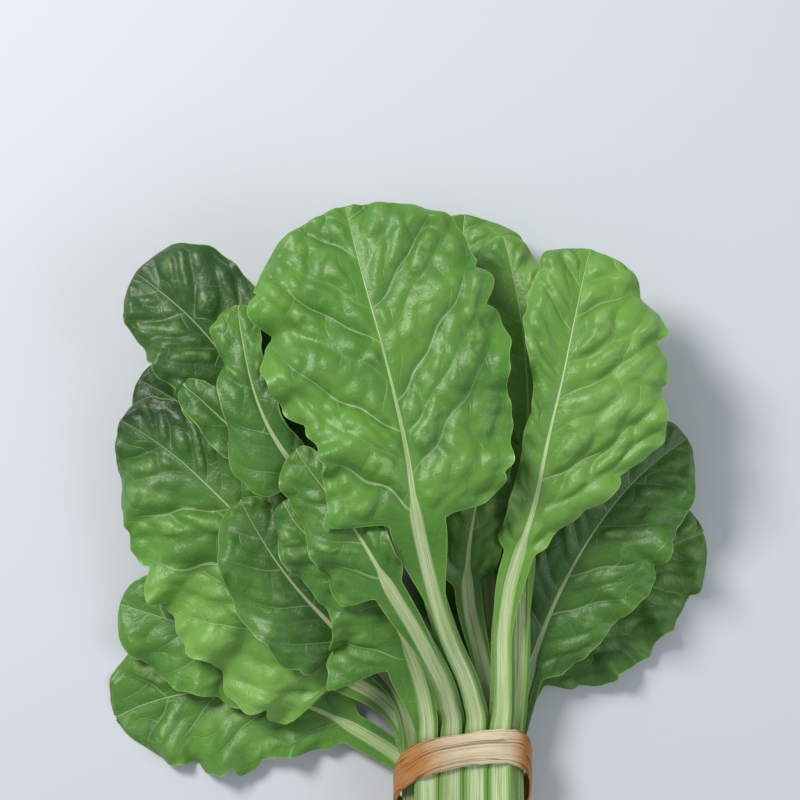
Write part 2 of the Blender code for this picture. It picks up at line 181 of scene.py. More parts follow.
WING_SHARE = 1.25
WING_RUN = 55.0
WING_TURN = 9.0
TIP_REACH = 12.0
TIP_ROWS = 14

# The midrib's half width as a share of the stem's: on the stem, at the tip, and more at the foot
RIB_ON_STEM, RIB_AT_TIP, RIB_AT_FOOT = 0.86, 0.10, 0.36
RIB_FADE = 1.6

# How far out a blade's tone and painted shade have wholly turned, and how far apart the leaves' patterns
# are taken
TONE_AND_SHADING_REACH = 50.0
LEAF_APART = 61.0

# Even chances: what their keys are weighed by, how far they spread, and the right half's own seed
CHANCE_WEIGHTS = (12.9898, 78.233, 37.719)
CHANCE_SPREAD = 43758.5453
RIGHT_SEED = 50

# What the camera shows: 400 mm across at the height of the bunch's middle, seen from straight above
VIEW_WIDTH = 400.0
VIEW_MIDDLE = (-39.0, 181.0)
VIEW_HEIGHT = 45.0
LENS = 100.0
SENSOR = 36.0
CLIP_START, CLIP_END = 0.01, 20.0

# The studio, in metres and watts
FLOOR_HALF = 6.0
FLOOR_COLOUR = (0.72, 0.76, 0.82, 1)
FLOOR_ROUGHNESS = 0.9
KEY_PLACE, KEY_SIZE, KEY_POWER = (-0.75, 0.75, 1.15), 0.5, 17.5
KEY_COLOUR = (1.0, 0.98, 0.94)
FILL_PLACE, FILL_SIZE, FILL_POWER = (1.1, -0.2, 1.0), 0.9, 4.5
FILL_COLOUR = (0.94, 0.97, 1.0)
SKY_COLOUR = (0.93, 0.96, 1.0, 1)
SKY_STRENGTH = 0.32


@dataclass
class Half:
    """One side of a blade.

    widths are its reach at 0, 7, 25, 50, 75 and 93 hundredths of its length. tilt is its angle
    in degrees at the rib and curl what is added to that by the margin. lobe is how far its
    foot hangs back past where it is joined to the stem.
    """

    widths: tuple
    tilt: float = 12.0
    curl: float = -14.0
    wave: float = 3.5
    phase: float = 0.0
    lobe: float = 4.0


@dataclass
class Leaf:
    """slot is the stem's column and row in the neck; path is what the midrib passes above it."""

    name: str
    slot: tuple
    path: list
    blade: float
    left: Half
    right: Half
    cut: float = -60.0


LEAVES = [
    Leaf(
        "leaf_far_left", (-1.5, 0),
        [(-38, -4, 9), (-64, 12, 9), (-90, 25, 9), (-124, 31, 8), (-159, 28, 4), (-187, 16, 0.8)],
        132, Half((4, 13, 26, 41, 37, 22), wave=4, phase=0.9), Half((3, 11, 30, 40, 34, 20), phase=2.0),
        cut=-60,
    ),
    Leaf(
        "leaf_low_left", (-2, 1),
        [(-40, 22, 18), (-79, 43, 18), (-119, 57, 16), (-154, 67, 13), (-184, 76, 9)],
        120, Half((3, 16, 26, 32, 28, 18), phase=1.0), Half((3, 16, 26, 30, 26, 16), phase=3.0), cut=-64,
    ),
    Leaf(
        "leaf_back_left", (-0.5, 0),
        [(-19, 36, 9), (-44, 66, 6), (-79, 108, 5), (-109, 145, 5), (-139, 171, 3.5), (-175, 192, 1)],
        135, Half((3, 15, 26, 30, 28, 18), phase=0.2), Half((3, 15, 26, 30, 28, 18), phase=1.7), cut=-70,
    ),
    Leaf(
        "leaf_back", (0.5, 0),
        [(5, 40, 8), (6, 90, 5), (0, 150, 3.4), (-9, 205, 2.2), (-14, 243, 1)],
        196, Half((3, 24, 38, 42, 38, 24), phase=0.9), Half((3, 24, 38, 42, 38, 24), phase=2.2), cut=-67,
    ),
    Leaf(
        "leaf_low_right", (1.5, 0),
        [(26, 33, 9), (42, 58, 7), (64, 83, 7), (90, 101, 4.5), (119, 112, 0.7)],
        122, Half((3, 16, 30, 38, 32, 20), phase=0.5), Half((3, 18, 34, 40, 34, 20), wave=5, phase=2.6),
        cut=-63,
    ),
    Leaf(
        "leaf_back_centre", (1, 1),
        [(9, 40, 22), (6, 90, 26), (0, 140, 30), (-6, 200, 33), (-8, 248, 30), (-6, 276, 24)],
        160, Half((3, 18, 32, 36, 32, 20), phase=0.1), Half((3, 18, 34, 40, 38, 28), phase=1.9), cut=-73,
    ),
    Leaf(
        "leaf_broad_left", (-1, 1),
        [(-26, 30, 21), (-49, 53, 26), (-84, 86, 33), (-104, 106, 36), (-136, 138, 37), (-160, 159, 32),
         (-182, 171, 24)],
        176, Half((8, 60, 68, 62, 48, 28), tilt=-4, curl=-12, wave=4.5, phase=0.8, lobe=8),
        Half((2, 8, 22, 30, 28, 18), phase=2.4), cut=-68,
    ),
    Leaf(
        "leaf_top_left", (0, 1),
        [(-11, 32, 22), (-25, 52, 27), (-48, 82, 34), (-74, 117, 41), (-98, 157, 47), (-117, 189, 50),
         (-136, 215, 52), (-153, 231, 49), (-172, 245, 42)],
        132, Half((3, 14, 26, 30, 28, 20), tilt=22, curl=-30, phase=0.3),
        Half((3, 14, 28, 36, 34, 24), tilt=18, curl=-30, phase=1.4), cut=-65,
    ),
    Leaf(
        "leaf_right_shade", (2, 1),
        [(25, 36, 22), (35, 68, 28), (48, 97, 34), (64, 123, 38), (84, 146, 38), (107, 162, 31)],
        154, Half((3, 12, 24, 30, 28, 18), phase=0.7), Half((3, 14, 28, 37, 32, 20), phase=2.9), cut=-71,
    ),
    Leaf(
        "leaf_right_inner", (2, 2),
        [(21, 42, 31), (21, 82, 36), (22, 120, 42), (25, 160, 46), (24, 200, 47), (19, 238, 43),
         (13, 264, 38)],
        160, Half((3, 10, 20, 26, 24, 16), wave=5.5, phase=0.6),
        Half((3, 9, 15, 16, 15, 11), wave=5.5, phase=2.1), cut=-64,
    ),
    Leaf(
        "leaf_small_left", (-1, 2),
        [(-26, 38, 33), (-47, 74, 44), (-72, 114, 52), (-95, 140, 57), (-117, 162, 60), (-133, 178, 60),
         (-147, 189, 56)],
        66, Half((2, 5, 9, 11, 9, 6), tilt=30, wave=2, phase=0.2, lobe=0),
        Half((2, 5, 9, 10, 8, 5), tilt=35, wave=2, phase=1.2, lobe=0), cut=-72,
    ),
    Leaf(
        "leaf_left_inner", (-2, 2),
        [(-39, 36, 30), (-61, 56, 35), (-84, 79, 40), (-104, 104, 44), (-119, 131, 44)],
        92, Half((3, 20, 29, 29, 24, 14), phase=0.5, lobe=8),
        Half((3, 10, 17, 20, 17, 10), tilt=16, phase=1.5), cut=-61,
    ),
    Leaf(
        "leaf_curled", (0, 2),
        [(-8, 32, 32), (-21, 54, 40), (-40, 79, 49), (-56, 104, 57), (-73, 127, 63), (-87, 144, 67),
         (-98, 158, 69), (-106, 172, 70), (-111, 187, 70), (-115, 203, 69), (-119, 228, 63)],
        94, Half((3, 14, 25, 15, 14, 11), tilt=8, curl=-30, wave=4, phase=0.5, lobe=10),
        Half((2, 5, 7, 8, 8, 6), tilt=28, curl=-10, wave=2.5, phase=1.8), cut=-63,
    ),
    Leaf(
        "leaf_young", (1, 2),
        [(6, 32, 31), (-1, 62, 36), (-6, 92, 42), (-4, 116, 47), (1, 141, 52), (6, 170, 54)],
        86, Half((2, 7, 12, 14, 12, 7), wave=2.5, phase=0.2),
        Half((2, 7, 13, 15, 12, 7), wave=2.5, phase=1.9), cut=-70,
    ),
    Leaf(
        "leaf_front_left", (-1.5, 3),
        [(-25.5, 28, 40), (-32, 48, 48), (-40, 71, 57), (-52, 86, 62), (-67, 98, 66), (-83, 111, 68),
         (-97, 131, 67)],
        106, Half((8, 42, 38, 20, 16, 11), tilt=2, curl=-22, wave=4, phase=0.3, lobe=10),
        Half((2, 5, 8, 9, 8, 5), tilt=28, curl=-10, wave=2, phase=1.1), cut=-66,
    ),
    Leaf(
        "leaf_front_narrow", (-0.5, 3),
        [(-12.5, 27, 40), (-20, 44, 47), (-30, 66, 58), (-46, 92, 68), (-55, 110, 73), (-65, 124, 76),
         (-77, 139, 78), (-90, 157, 77)],
        84, Half((4, 20, 25, 22, 18, 12), tilt=2, curl=-24, phase=0.7, lobe=8),
        Half((2, 6, 10, 11, 9, 6), tilt=28, curl=-10, wave=2, phase=2.0), cut=-62,
    ),
    Leaf(
        "leaf_right", (1.5, 3),
        [(13.5, 34, 40), (12, 56, 44), (13, 76, 49), (17, 97, 55), (24, 117, 60), (28, 131, 63),
         (33, 161, 68), (38, 180, 70), (43, 204, 71), (48, 228, 68), (55, 256, 58)],
        160, Half((3, 10, 9, 10, 24, 21), tilt=18, curl=-24, wave=2, phase=0.9),
        Half((3, 8, 31, 53, 45, 29), tilt=10, curl=-22, wave=3, phase=2.7), cut=-65,
    ),
    Leaf(
        "leaf_centre", (0.5, 3),
        [(-0.5, 27, 40), (-9, 47, 48), (-19, 73, 60), (-26, 100, 70), (-31, 122, 77), (-36, 160, 83),
         (-40, 176, 84), (-46, 202, 84), (-55, 233, 81), (-66, 276, 68)],
        160, Half((8, 43, 38, 56, 55, 38), tilt=10, curl=-20, wave=4, phase=0.2, lobe=8),
        Half((8, 34, 51, 58, 55, 39), tilt=8, curl=-18, wave=4, phase=1.6, lobe=12), cut=-69,
    ),
]

# How high the fields of some blades are puffed, and those of the rest
PUFFED = {
    "leaf_right": 1.8,
    "leaf_centre": 1.3,
    "leaf_top_left": 1.5,
    "leaf_low_left": 0.8,
    "leaf_far_left": 0.8,
}
PUFFED_ELSE = 1.15

# How dark each blade is at its foot, its own tone and painted shade (painted light where below nought),
# and what is added to that at its tip and at its right margin
TONES_AND_PAINTED_SHADING = {
    "leaf_far_left": (0.15, 0.2, 0.3),
    "leaf_low_left": (0.3, -0.1, 0.2),
    "leaf_back_left": (1.0, 0.1, 0.0),
    "leaf_back": (0.3, 0.0, 0.0),
    "leaf_low_right": (0.6, -0.3, 0.0),
    "leaf_back_centre": (-0.6, 0.9, 0.0),
    "leaf_broad_left": (0.05, 1.1, 0.6),
    "leaf_top_left": (0.9, 0.1, 0.1),
    "leaf_right_shade": (0.75, 0.0, -0.4),
    "leaf_right_inner": (-1.3, 1.3, -0.3),
    "leaf_small_left": (0.7, -0.1, 0.0),
    "leaf_left_inner": (0.9, -0.3, 0.6),
    "leaf_curled": (0.6, -0.2, 0.3),
    "leaf_young": (0.4, 0.0, 0.0),
    "leaf_front_left": (0.25, 0.3, 0.0),
    "leaf_front_narrow": (0.4, 0.1, 0.0),
    "leaf_right": (-0.3, 0.0, -0.3),
    "leaf_centre": (0.15, 0.05, 0.05),
}


def smooth(x):
    """0 below 0, 1 above 1, and an even rise between."""
    x = np.clip(x, 0, 1)
    return x * x * (3 - 2 * x)


def through(knots, values, at):
    """A smooth run through the values at the knots that never swings past them."""
    values = np.array(values, float).reshape(len(knots), -1)
    gap = np.diff(knots)[:, None]
    rate = np.diff(values, axis=0) / gap
    before, after = rate[:-1], rate[1:]
    first, second = 2 * gap[1:] + gap[:-1], gap[1:] + 2 * gap[:-1]
    even = before * after > 0
    before, after = np.where(even, before, 1), np.where(even, after, 1)
    inner = np.where(even, (first + second) / (first / before + second / after), 0)
    slope = np.vstack([rate[:1], inner, rate[-1:]])
    i = np.clip(np.searchsorted(knots, at, side="right") - 1, 0, len(knots) - 2)
    t = ((at - knots[i])[:, None]) / gap[i]
    start = (1 + 2 * t) * values[i] + t * gap[i] * slope[i]
    end = (3 - 2 * t) * values[i + 1] + (t - 1) * gap[i] * slope[i + 1]
    return (1 - t) ** 2 * start + t**2 * end


def unit(v):
    return v / np.linalg.norm(v, axis=-1, keepdims=True)


class Spine:
    """The midrib from the cut end to the tip, with its length and the way that the leaf faces."""

    def __init__(self, leaf):
        column, row = leaf.slot
        x, z = column * COLUMN_PITCH, (row - MIDDLE_ROW) * ROW_PITCH
        z += NECK_BULGE * (1 - (column / OUTER_COLUMN) ** 2) * z / (MIDDLE_ROW * ROW_PITCH)
        top = z + STEM_AT_TIE[1] / 2
        self.free = TIE_OFFSET + TIE_SLANT_ACROSS * x + TIE_SLANT_UP * z + TIE_BREADTH / 2 + STEM_FREE
        stem = [(NECK_X + x * FLARE_BELOW, leaf.cut, NECK_HEIGHT + top * FLARE_BELOW)]
        straight = (NECK_BELOW, self.free - STEM_STRAIGHT, self.free)
        stem += [(NECK_X + x, y, NECK_HEIGHT + top) for y in straight]
        knots = np.array(stem + leaf.path, float)
        chord = np.concatenate([[0], np.cumsum(np.linalg.norm(np.diff(knots, axis=0), axis=1))])
        self.points = through(chord, knots, np.linspace(0, chord[-1], SPINE_POINTS))
        steps = np.linalg.norm(np.diff(self.points, axis=0), axis=1)
        self.at = np.concatenate([[0], np.cumsum(steps)])
        self.length = self.at[-1]
        self.tie = -leaf.cut
        self.blade = self.length - leaf.blade
        self.neck = float(np.interp(self.free, self.points[:, 1], self.at))

    def point(self, s):
        return np.stack([np.interp(s, self.at, self.points[:, k]) for k in range(3)], axis=-1)

    def ease(self):
        """Draws out the bends above the neck into even curves."""
        room = np.minimum(np.maximum(self.at - self.neck, 0), self.length - self.at)
        reach = np.minimum(room, EASING)
        shares = np.linspace(-1, 1, EASING_STEPS)
        self.points = np.mean([self.point(self.at + share * reach) for share in shares], axis=0)

    def frame(self, s):
        """Points of the spine at the lengths s, with the tangent, the side and the face's normal."""
        reach = 4.0
        along = unit(self.point(s + reach) - self.point(s - reach))
        side = unit(np.cross(along, [0, 0, 1]))
        return self.point(s), along, side, np.cross(side, along)


def along_stem(spine, s, which):
    """The stem's half width (which 0) or depth (which 1) at the lengths s."""
    narrow = max(spine.blade, spine.neck + STEM_NARROW_BY)
    places = [0, spine.tie, spine.neck + STEM_SETTLED_BY, narrow, spine.length]
    sizes = (STEM_AT_CUT, STEM_AT_TIE, STEM_ABOVE_TIE, STEM_AT_BLADE, STEM_AT_TIP)
    return np.interp(s, places, [size[which] for size in sizes])


def plain_reach(half, spine, s, u):
    """How far the solid's blade stands out of the stem."""
    round_ends = np.arccos(1 - 2 * u)
    knots = np.linspace(0, math.pi, len(half.widths) + 1)
    widths = through(knots, (*half.widths, 0), round_ends)[:, 0]
    scallops = 1 + SCALLOP * np.sin(2 * math.pi * s / WAVE_LENGTH * SCALLOPS_PER_WAVE + 2 * half.phase)
    return widths * scallops * (u > 0)


def winged_reach(half, spine, s, u):
    """The same for the fine blade, which runs down the stem as a narrow wing."""
    wing = max(WING_SHARE * half.widths[0], WING) * smooth((s - spine.blade + WING_RUN) / WING_RUN)
    grown = smooth((s - spine.blade) / WING_TURN)
    drift = LOBE_DRIFT * np.sin(s / LOBE_DRIFT_LENGTH + half.phase)
    lobes = np.abs(np.sin(math.pi * s / LOBE_LENGTH + 3 * half.phase + drift))
    nicks = NICK_DEPTH * np.sin(NICK_TURN * s + 5 * half.phase)
    notches = LOBE_DEPTH * (1 - lobes) ** 2 + nicks
    blade = plain_reach(half, spine, s, np.maximum(u, 1e-6))
    return wing * (1 - grown) + blade * grown * (1 - notches)


def even_puffs(here):
    """The solid's puffs: even ridges that sweep out from the midrib."""
    puff = PUFF * here.into * np.sin(math.pi * np.minimum(here.out, PUFF_OUT)) * (1 - here.u) ** PUFF_FADE
    return puff * np.abs(np.sin(math.pi * (here.s - PUFF_SWEEP * here.r) / PUFF_LENGTH))


@dataclass
class Sheet:
    """A leaf's upper face on a grid of rows and columns, with what is known at each point.

    s is the length along the stem, r the distance from the midrib and rim that from the margin.
    out runs from 0 at the midrib to 1 at the margin, u from 0 at the blade's foot to 1 at its tip.
    into is 0 on the stem and 1 on the blade, stem is the stem's half width, and left tells the
    left half. puffed is how far the fields between the veins stand out.
    """

    leaf: Leaf
    spine: Spine
    s: np.ndarray
    u: np.ndarray
    into: np.ndarray
    stem: np.ndarray
    left: np.ndarray
    out: np.ndarray
    r: np.ndarray
    rim: np.ndarray
    points: np.ndarray = field(default=None)
    thick: np.ndarray = field(default=None)
    puffed: np.ndarray = field(default=None)


def sheet(leaf, spine, s, columns, reach_rule, puff_rule):
    """The leaf's upper face as a grid of points, and its thickness at each."""
    points, along, side, up = (a[:, None] for a in spine.frame(s))
    u = np.clip((s - spine.blade) / leaf.blade, 0, 1)
    reaches = [reach_rule(half, spine, s, u)[:, None] for half in (leaf.left, leaf.right)]
    s, u = s[:, None], u[:, None]
    into = smooth((s - spine.blade) / BLADE_RUN_IN)
    stem = along_stem(spine, s, 0)
    deep = along_stem(spine, s, 1)
    core = STEM_CORE * stem
    v = columns[None, :]
    left = v < 0

    def of_half(word):
        return np.where(left, getattr(leaf.left, word), getattr(leaf.right, word))

    reach = np.where(left, *reaches)
    margin = stem + reach
    out = np.maximum((np.abs(v) - CORE_COLUMN) / (1 - CORE_COLUMN), 0)
    r = core * np.minimum(np.abs(v) / CORE_COLUMN, 1) + out * (margin - core)
    here = Sheet(leaf, spine, s, u, into, stem, left, out, r, margin - r)
    tilt = np.radians(of_half("tilt")) * into
    curl = np.radians(of_half("curl")) * into / margin + 1e-6
    angle = tilt + curl * r
    across = (np.sin(angle) - np.sin(tilt)) / curl
    rise = -(np.cos(angle) - np.cos(tilt)) / curl
    calm = into * smooth((1 - u) / TIP_CALM)
    turn = 2 * math.pi * s / WAVE_LENGTH + 2 * of_half("phase")
    lift = of_half("wave") * out**WAVE_GROWTH * calm * np.sin(turn) + puff_rule(here)
    channel = STEM_CHANNEL * (np.minimum(r / stem, 1) ** 2 - 0.5) * (1 - into)
    across = across - lift * np.sin(angle)
    rise = rise + lift * np.cos(angle) + channel
    widest = np.where(left, max(leaf.left.widths), max(leaf.right.widths))
    back = of_half("lobe") * out**LOBE_GROWTH * (1 - u) ** 2 * reach / widest
    aside = np.where(left, -1, 1) * across
    here.points = points + side * aside[..., None] + up * rise[..., None] - along * back[..., None]
    round_back = np.sqrt(1 - np.minimum(r / stem, 1) ** 2)
    rib = np.clip(1 - (r / (RIB_REACH * core)) ** 2, 0, 1)
    here.thick = BLADE_THICK + (deep - BLADE_THICK) * ((1 - into) * round_back + into * rib)
    return here


def rows_of(leaf, spine):
    """Where the solid's rows lie along the spine: even on the stem, closer at the blade's ends."""
    neck_rows = round(spine.neck / STEM_ROW)
    stem_rows = max(round((spine.blade - spine.neck) / STEM_ROW), 1)
    blade_rows = round(leaf.blade / BLADE_ROW)
    even = np.arange(1, blade_rows + 1) / blade_rows
    eased = (1 - np.cos(math.pi * even)) / 2
    return np.concatenate([
        np.linspace(0, spine.neck, neck_rows + 1),
        np.linspace(spine.neck, spine.blade, stem_rows + 1)[1:],
        spine.blade + leaf.blade * (ROWS_EASED * eased + (1 - ROWS_EASED) * even),
    ])


def triangles_of(rows, columns):
    """Index triples of a grid of rows by columns, its diagonals turning about so that no side leads."""
    i, j = np.meshgrid(np.arange(rows - 1), np.arange(columns - 1), indexing="ij")
    i, j = i.ravel(), j.ravel()
    a, b = i * columns + j, i * columns + j + 1
    c, d = b + columns, a + columns
    odd = ((i + j) % 2 == 1)[:, None]
    first = np.where(odd, np.stack([a, b, c], axis=1), np.stack([a, b, d], axis=1))
    second = np.where(odd, np.stack([a, c, d], axis=1), np.stack([b, c, d], axis=1))
    return np.vstack([first, second])


def normals_of(grid, triangles):
    """The average normal of the faces round each point of the grid."""
    flat = grid.reshape(-1, 3)
    a, b, c = (flat[triangles[:, k]] for k in range(3))
    faces = np.cross(b - a, c - a)
    found = np.zeros_like(flat)
    for k in range(3):
        np.add.at(found, triangles[:, k], faces)
    return unit(found).reshape(grid.shape)


def under_of(grid, thick, triangles):
    """The leaf's lower face: each point of the upper one moved in by the thickness there."""
    return grid - normals_of(grid, triangles) * thick[..., None]


class Pile:
    """The height of what is laid so far, in cells of the table.

    Each triangle is sampled at so many steps along its sides. A blade clears the pile by the
    clearance, and a stem by its own. Where it is widened, a blade also clears the cells beside it.
    """

    def __init__(self, samples, clearance, stem_clearance, widened):
        self.count = int(2 * FIELD / CELL)
        self.height = np.zeros((self.count, self.count))
        steps = [(i, j) for i in range(samples + 1) for j in range(samples + 1 - i)]
        self.weights = np.array([(i, j, samples - i - j) for i, j in steps]) / samples
        self.clearance = clearance
        self.stem_clearance = stem_clearance
        self.widened = widened

    def spread(self, surface, triangles):
        """Points spread over every triangle, and the cells that they fall in."""
        corners = surface.reshape(-1, 3)[triangles]
        points = np.einsum("kc,tcx->tkx", self.weights, corners)
        cells = ((points[..., :2] + FIELD) / CELL).astype(int)
        return points, cells[..., 0], cells[..., 1]

    def lift_for(self, under, triangles, stem_rows, free):
        """How far each point of a leaf has to rise for all of its lower face to clear the pile."""
        wide = self.height
        if self.widened:
            for axis in (0, 1):
                wide = np.maximum(wide, np.maximum(np.roll(wide, 1, axis), np.roll(wide, -1, axis)))
        points, i, j = self.spread(under, triangles)
        stem = (triangles.max(axis=1) < stem_rows * under.shape[1])[:, None]
        below = np.where(stem, self.height[i, j] + self.stem_clearance, wide[i, j] + self.clearance)
        tied = (points[..., 1] < free + 1) & (np.abs(points[..., 0] - NECK_X) < TIE_HALF_WIDTH)
        short = np.where((self.height[i, j] > 0) & ~tied, below - points[..., 2], 0)
        needed = np.maximum(short, 0).max(axis=1)
        lift = np.zeros(under.shape[0] * under.shape[1])
        for k in range(3):
            np.maximum.at(lift, triangles[:, k], needed)
        return lift.reshape(under.shape[:2])

    def add(self, upper, triangles):
        points, i, j = self.spread(upper, triangles)
        np.maximum.at(self.height, (i, j), points[..., 2])


def around(grid):
    """Each point's own value and its eight neighbours', in a new first axis."""
    near = np.pad(grid, 1, mode="edge")
    rows, columns = grid.shape
    return np.stack([near[i:i + rows, j:j + columns] for i in range(3) for j in range(3)])


def soften(lift, stem_rows, held_rows, rounds):
    """Spreads a lift out evenly, nowhere under what was asked, each row of the stem lifted as one."""
    for _ in range(rounds):
        lift[:stem_rows] = lift[:stem_rows].max(axis=1, keepdims=True)
        lift = np.maximum(lift, around(lift).mean(axis=0))
        lift[:held_rows] = 0
    even = around(around(lift).max(axis=0)).mean(axis=0)
    return np.vstack([lift[:stem_rows], even[stem_rows:]])


def lay(here, pile, rounds=SOFTENING):
    """Lifts a sheet clear of the pile and the table and adds it. Returns the lift and its lower face."""
    s = here.s[:, 0]
    triangles = triangles_of(*here.thick.shape)
    stem_rows = int((s < here.spine.blade + BLADE_RUN_IN).sum())
    held_rows = int((s < here.spine.neck + 1).sum())
    under = under_of(here.points, here.thick, triangles)
    asked = pile.lift_for(under, triangles, stem_rows, here.spine.free)
    lift = soften(asked, stem_rows, held_rows, rounds)
    here.points[..., 2] += lift
    under = under_of(here.points, here.thick, triangles)
    sunk = np.maximum(-np.minimum(here.points[..., 2], under[..., 2]), 0)
    here.points[..., 2] += sunk
    under[..., 2] += sunk
    pile.add(here.points, triangles)
    return lift + sunk, under


def chance(*keys):
    """An even number from 0 to 1 that depends only on the keys."""
    total = sum(np.asarray(key, float) * weight for key, weight in zip(keys, CHANCE_WEIGHTS))
    return np.abs(np.sin(total) * CHANCE_SPREAD) % 1


def own_height(least, *keys):
    """A height from least to 1 that depends only on the keys."""
    return least + (1 - least) * chance(*keys)


def pillow(x):
    """0 at 0 and 1, with a puffed top between."""
    bow = 4 * x * (1 - x)
    return bow**2 * (3 - 2 * bow)


def veins_of(here, order):
    """The side veins' and cross veins' counts at each point, whole on a vein, and their spacing."""
    turns, spacing = 0, 0
    sides = ((here.leaf.left, here.left, order), (here.leaf.right, ~here.left, order + RIGHT_SEED))
    for half, mine, seed in sides:
        width = max(half.widths)
        gap = np.clip(SIDE_VEIN_SHARE * width, SIDE_VEIN_LEAST, SIDE_VEIN_MOST)
        foot = here.s - here.spine.blade - SIDE_VEIN_LEAN * here.r - SIDE_VEIN_CURVE * here.r**2 / width
        uneven = VEIN_UNEVEN * np.sin(2.3 * foot / gap + 6 * chance(seed, 2))
        bend = VEIN_BEND * np.sin(here.r / VEIN_BEND_LENGTH + 6 * chance(seed, 3))
        kink = VEIN_KINK * np.sin(here.r / VEIN_KINK_LENGTH + foot / 9)
        turns = turns + mine * (foot / gap + chance(seed, 1) + uneven + bend + kink)
        spacing = spacing + mine * gap
    shift = CROSS_SHIFT * np.sin(1.9 * turns + order)
    kink = CROSS_KINK * np.sin(here.s / CROSS_KINK_LENGTH + order)
    return turns, here.r / CROSS_VEIN + shift + kink, spacing


def waves(here, order, length, seed):
    """An uneven swell over the blade, from -1 to 1, of about that wave length."""
    across = np.where(here.left, -here.r, here.r)
    total = 0
    for k in range(SWELL_WAVES):
        turn = 2 * math.pi * chance(order, seed, k)
        reach = 2 * math.pi / (length * (0.7 + 0.7 * chance(order, seed + 9, k)))
        place = across * math.cos(turn) + here.s * math.sin(turn)
        total = total + np.sin(reach * place + 7 * k + order)
    return total / SWELL_WAVES


def fine_relief(order):
    """The rule for a fine blade's relief: puffed fields, creases, a swell and a ruffled margin."""
    def rule(here):
        turns, cross, spacing = veins_of(here, order)
        side = np.floor(turns)
        step = cross + GOLDEN * side
        rung = np.floor(step)
        pair = (turns + 1) / 2
        between_veins = pillow(turns - side)
        broad = pillow(pair % 1) * own_height(FIELD_LEAST, np.floor(pair), order, 8)
        fields = between_veins * own_height(FIELD_LEAST, side, order, 3)
        cells = between_veins * pillow(step - rung) * own_height(CELL_LEAST, side, rung, order)
        risen = smooth((here.r - 0.5 * here.stem) / FIELD_RISE)
        fade = here.into * risen * (1 - 0.8 * here.out**4)
        raised = BROAD_SHARE * broad + FIELD_SHARE * fields + CELL_SHARE * cells - PUFF_MIDDLE
        here.puffed = raised * fade
        height = FIELD_HEIGHT * spacing / SIDE_VEIN_MOST * PUFFED.get(here.leaf.name, PUFFED_ELSE)
        creases = np.abs(waves(here, order, CREASE_LENGTH, 4)) - CREASE_MIDDLE
        swell = SWELL_HEIGHT * waves(here, order, SWELL_LENGTH, 1) + CREASE_HEIGHT * creases
        drift = RUFFLE_DRIFT * np.sin(here.s / RUFFLE_DRIFT_LENGTH + order)
        phase = 2 * math.pi * here.s / RUFFLE_LENGTH + drift + order + 2 * here.left
        ruffle = RUFFLE * here.out**3 * (np.sin(phase) + 0.4 * np.sin(1.9 * phase + order))
        roll = ROLL * (1 - smooth(here.rim / ROLL_BREADTH)) * (0.3 + smooth((here.u - 0.6) / 0.3))
        calm = smooth((1 - here.u) / TIP_CALM)
        on_stem = (1 - here.into) * smooth(1.5 - here.r / here.stem)
        ridges = RIDGE_HEIGHT * np.cos(2 * math.pi * here.r / RIDGE_PITCH) * on_stem
        loose = swell * smooth(here.r / SWELL_RISE) + ruffle * calm - roll
        return height * here.puffed + loose * here.into + ridges
    return rule


def finer(knots, steps):
    """The knots with each gap between them cut evenly to no more than its step."""
    parts = []
    for a, b, step in zip(knots, knots[1:], steps):
        parts.append(np.linspace(a, b, math.ceil((b - a) / step) + 1)[:-1])
    return np.concatenate(parts + [knots[-1:]])


def fine_columns(leaf):
    """The fine grid's columns, from -1 at the left margin to 1 at the right one."""
    widest = max(leaf.left.widths + leaf.right.widths)
    outer = np.linspace(CORE_COLUMN, 1, math.ceil(widest / FINE_COLUMN) + 1)
    half = np.concatenate([np.linspace(0, CORE_COLUMN, CORE_STEPS + 1), outer[1:]])
    return np.concatenate([-half[:0:-1], half])


def fine_leaf(rough, lift, pile, order):
    """The fine leaf on the lift that the solid got, lifted further where fine leaves would touch."""
    leaf, spine = rough.leaf, rough.spine
    spine.ease()
    knots = rough.s[:, 0]
    steps = np.where(knots[1:] > spine.blade - WING_RUN, FINE_ROW, FINE_STEM_ROW)
    s, columns = finer(knots, steps), fine_columns(leaf)
    tip = spine.length - TIP_REACH * np.linspace(1, 0, TIP_ROWS) ** 2
    s = np.concatenate([s[s < tip[0] - 0.5], tip])
    fine = sheet(leaf, spine, s, columns, winged_reach, fine_relief(order))
    fine.points[..., 2] += through(COLUMNS, through(knots, lift, s).T, columns).T
    margin = smooth((fine.out - MARGIN_FROM) / MARGIN_RUN)
    fine.thick = fine.thick * (1 - MARGIN_THINNING * margin * fine.into)
    _, under = lay(fine, pile, FINE_SOFTENING)
    return fine, under


def shown(name, mesh):
    made = bpy.data.objects.new(name, mesh)
    bpy.context.scene.collection.objects.link(made)
    return made


def mark(mesh, word, values):
    """Keeps three values at each point of the mesh, for its material to read."""
    mesh.attributes.new(word, "FLOAT_VECTOR", "POINT").data.foreach_set("vector", values.ravel())


